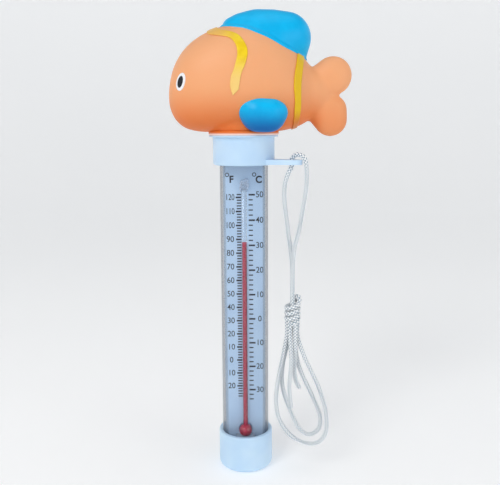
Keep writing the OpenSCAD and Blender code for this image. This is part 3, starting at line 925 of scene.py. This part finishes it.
def makeThermometer():
    s = stemFacts
    centre = (0, s["y"])
    join = math.degrees(math.asin(s["stem"] / s["bulbReach"]))
    boreJoin = math.degrees(math.asin(s["bore"] / s["bulbInside"]))
    knobJoin = math.degrees(math.asin(s["stem"] / s["knob"]))
    stem = turned("capillary", [
        *bend((0, s["bulb"]), s["bulbReach"], -90, 90 - join, 24),
        *bend((0, s["top"]), s["knob"], knobJoin - 90, 90, 16),
        (0, s["boreTop"] + 0.5), (s["bore"] - 0.2, s["boreTop"] + 0.2), (s["bore"], s["boreTop"]),
        *bend((0, s["bulb"]), s["bulbInside"], 90 - boreJoin, -90, 24)], centre, 48, 40)
    finished(stem, "casing", stemGlass(), ["glass_stem"], 40)
    red = redLiquid()
    inside = s["bulbInside"] - s["gap"]
    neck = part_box("bulb_liquid")[1].z / mm
    neckReach = math.sqrt(inside ** 2 - (neck - s["bulb"]) ** 2)
    rise = math.degrees(math.asin((neck - s["bulb"]) / inside))
    pool = turned("bulb_fill", [*bend((0, s["bulb"]), inside, -90, rise, 24), (0, neck)], centre, 48, 40)
    finished(pool, "casing", red, ["bulb_liquid"], 40)
    reach = min(s["bore"] - s["gap"], neckReach)
    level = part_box("column_tip")
    low, high = level[0].z / mm, level[1].z / mm
    thread = turned("column_thread", [(0, neck), (reach, neck), (reach, low), (0, low)], centre, 32, 40)
    finished(thread, None, red, ["liquid_column"], 40)
    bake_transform(thread)
    crown = turned("column_meniscus", [
        (0, low), (reach, low), *bend((0, high - reach), reach, 0, 90, 6)], centre, 32, 40)
    finished(crown, "column_surface", red, ["column_tip"], 40)
    drops = [ball("drop", place, size, 24) for place, size in s["glue"]]
    drop = melted(joined(drops), s["glueGrain"], s["glueSoftening"])
    cut(drop, rod("stemHole", (0, s["y"], s["top"] - 6), s["stem"] + s["gap"], 12))
    cut(drop, ball("knobHole", (0, s["y"], s["top"]), [s["knob"] + s["gap"]] * 3))
    drop.name = "glue_drop"
    finished(drop, "casing", clearGlue(), ["stem_glue"])
    print("thermometer")


# The printed scale, in mm from the tube's middle and, up the card, from the two zeros
scaleFacts = {
    "celsiusZero": 79.1, "celsiusStep": 1.28, "celsius": (-34, 50), "celsiusMajor": (2.2, 5.35),
    "celsiusMinor": (2.2, 4.3), "celsiusNumbers": 7.65,
    "fahrenheitZero": 57.0, "fahrenheitStep": 0.7065, "fahrenheit": (-28, 122),
    "fahrenheitMajor": (-4.2, -1.5), "fahrenheitMinor": (-3.7, -1.5), "fahrenheitNumbers": -7.1,
    "major": 0.84, "minor": 0.6, "ink": 0.05,
    "numberTall": 4.3, "numberNarrow": (0.9, 0.72), "numberHeavy": 0.02,  # narrower from 100 up
    "unitTall": 4.8, "unitNarrow": 0.95, "unitHeavy": 0.16,
    "units": [("F", -6.3, 150.6, -8.4, 153.0), ("C", 7.3, 150.5, 5.0, 153.1)],  # letter x, z, ring x, z
    "ring": 0.85, "ringWire": 0.2, "ringFlat": 0.15,
}


# One printed mark: a thin block that lies on the card's face
def mark(left, right, height, thick, face):
    ink = scaleFacts["ink"]
    middle = Vector(((left + right) / 2, face - ink / 2, height)) * mm
    bpy.ops.mesh.primitive_cube_add(size=1, location=middle, scale=Vector((right - left, ink, thick)) * mm)


# A number or letter on the card's face, made a mesh
def printed(name, words, x, z, tall, narrow, face, heavy):
    bpy.ops.object.text_add(rotation=(math.pi / 2, 0, 0))
    piece = bpy.context.object
    piece.data.body = words
    piece.data.align_x = "CENTER"
    piece.data.align_y = "CENTER"
    piece.data.size = tall * mm
    piece.data.extrude = scaleFacts["ink"] * mm / 2
    piece.data.offset = heavy * mm
    piece.scale = (narrow, 1, 1)
    piece.location = Vector((x, face - scaleFacts["ink"] / 2, z)) * mm
    only(piece)
    bpy.ops.object.convert(target="MESH")
    return added(name)


def makeScale():
    f = scaleFacts
    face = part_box("scale_card")[0].y / mm
    ink = printInk()
    bpy.ops.object.select_all(action="DESELECT")
    bpy.ops.mesh.primitive_cube_add(size=mm)
    ticks = added("scale_ticks")
    editing(ticks)
    bpy.ops.mesh.select_all(action="SELECT")
    bpy.ops.mesh.delete(type="VERT")
    for unit in ("celsius", "fahrenheit"):
        first, last = f[unit]
        for degree in range(first, last + 1, 2):
            height = f[unit + "Zero"] + degree * f[unit + "Step"]
            big = degree % 10 == 0
            left, right = f[unit + ("Major" if big else "Minor")]
            mark(left, right, height, f["major"] if big else f["minor"], face)
    done()
    labels = []
    for unit, lowest, highest in (("celsius", -30, 50), ("fahrenheit", -20, 120)):
        for degree in range(lowest, highest + 1, 10):
            height = f[unit + "Zero"] + degree * f[unit + "Step"]
            narrow = f["numberNarrow"][1 if degree > 90 else 0]
            labels.append(printed("number", str(abs(degree)), f[unit + "Numbers"], height, f["numberTall"],
                                  narrow, face, f["numberHeavy"]))
    for letter, x, z, ringX, ringZ in f["units"]:
        labels.append(printed("unit", letter, x, z, f["unitTall"], f["unitNarrow"], face, f["unitHeavy"]))
        bpy.ops.mesh.primitive_torus_add(
            major_radius=f["ring"] * mm, minor_radius=f["ringWire"] * mm, major_segments=32, minor_segments=8,
            location=(ringX * mm, (face - 0.02) * mm, ringZ * mm), rotation=(math.pi / 2, 0, 0))
        ring = added("degreeRing")
        ring.scale = (1, f["ringFlat"], 1)
        ring.location = (0, face * mm * (1 - f["ringFlat"]), 0)
        only(ring)
        bpy.ops.object.transform_apply(location=True, rotation=True, scale=True)
        labels.append(ring)
    lettering = joined(labels)
    lettering.name = "scale_numbers"
    finished(ticks, "casing", ink, (), 30)
    finished(lettering, "casing", ink, (), 30)
    print("scale")


# CAD parts that keep their shape get their own finish
def dressFrame():
    for names, finish in (
            (["scale_card"], cardStock()), (["bottom_seal", "top_seal"], sealRubber()),
            (["ballast_weight"], ballastSteel()), (["bulb_pad"], padFoam())):
        for name in names:
            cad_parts[name].data.materials.clear()
            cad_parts[name].data.materials.append(finish)


# Sizes in metres and lamp powers in watts
studio = {
    "floor": 1.1, "curve": 0.6, "wall": 1.3, "glow": 0.24, "sky": 0.29,
    "key": 4.05, "fill": 1.05, "top": 1.25, "target": (0, 0, 0.12),
}


# A round cove: a flat floor whose rim curves up into a wall, so that every side has the same backdrop
def makeStudio():
    floor, curve = studio["floor"] / mm, studio["curve"] / mm
    cove = turned("cove", [
        (0, 0), (floor, 0), *bend((floor, curve), curve, -90, 0, 16), (floor + curve, studio["wall"] / mm)],
        steps=96, angle=60)
    editing(cove)
    bpy.ops.mesh.select_all(action="SELECT")
    bpy.ops.mesh.normals_make_consistent(inside=True)
    done()
    m = Finish("coveWhite")
    cloud = m.grain(3, 2)
    cove.data.materials.append(m.shows(m.plain(
        Base_Color=m.mix(cloud, (0.86, 0.87, 0.88, 1), (0.9, 0.905, 0.91, 1)), Roughness=0.9,
        Emission_Color=(1, 1, 1, 1), Emission_Strength=studio["glow"])))
    world = bpy.data.worlds.new("softSky")
    world.use_nodes = True
    world.node_tree.nodes["Background"].inputs["Color"].default_value = (0.93, 0.96, 1, 1)
    world.node_tree.nodes["Background"].inputs["Strength"].default_value = studio["sky"]
    bpy.context.scene.world = world
    target = Vector(studio["target"])
    lamps = (
        ("keyLamp", (-0.5, -0.75, 0.85), 0.5, studio["key"], (1, 0.98, 0.95)),
        ("fillLamp", (0.8, -0.6, 0.4), 0.6, studio["fill"], (0.95, 0.98, 1)),
        ("topLamp", (0.1, -0.1, 1.15), 0.7, studio["top"], (1, 1, 1)),
    )
    for name, place, size, power, colour in lamps:
        bpy.ops.object.light_add(type="AREA", location=place)
        lamp = bpy.context.object
        lamp.name = name
        lamp.data.shape = "DISK"
        lamp.data.size = size
        lamp.data.energy = power
        lamp.data.color = colour
        lamp.rotation_euler = (target - Vector(place)).to_track_quat("-Z", "Y").to_euler()
    bpy.context.scene.view_settings.view_transform = "Standard"


bpy.ops.object.select_all(action="DESELECT")
makeCamera()
makeCords()
bodyShape = makeFloat()
makeFins(bodyShape)
makeStripes(bodyShape)
makeEyes(bodyShape)
bpy.data.objects.remove(bodyShape)
makeCaps()
makeTube()
makeThermometer()
makeScale()
dressFrame()
makeStudio()
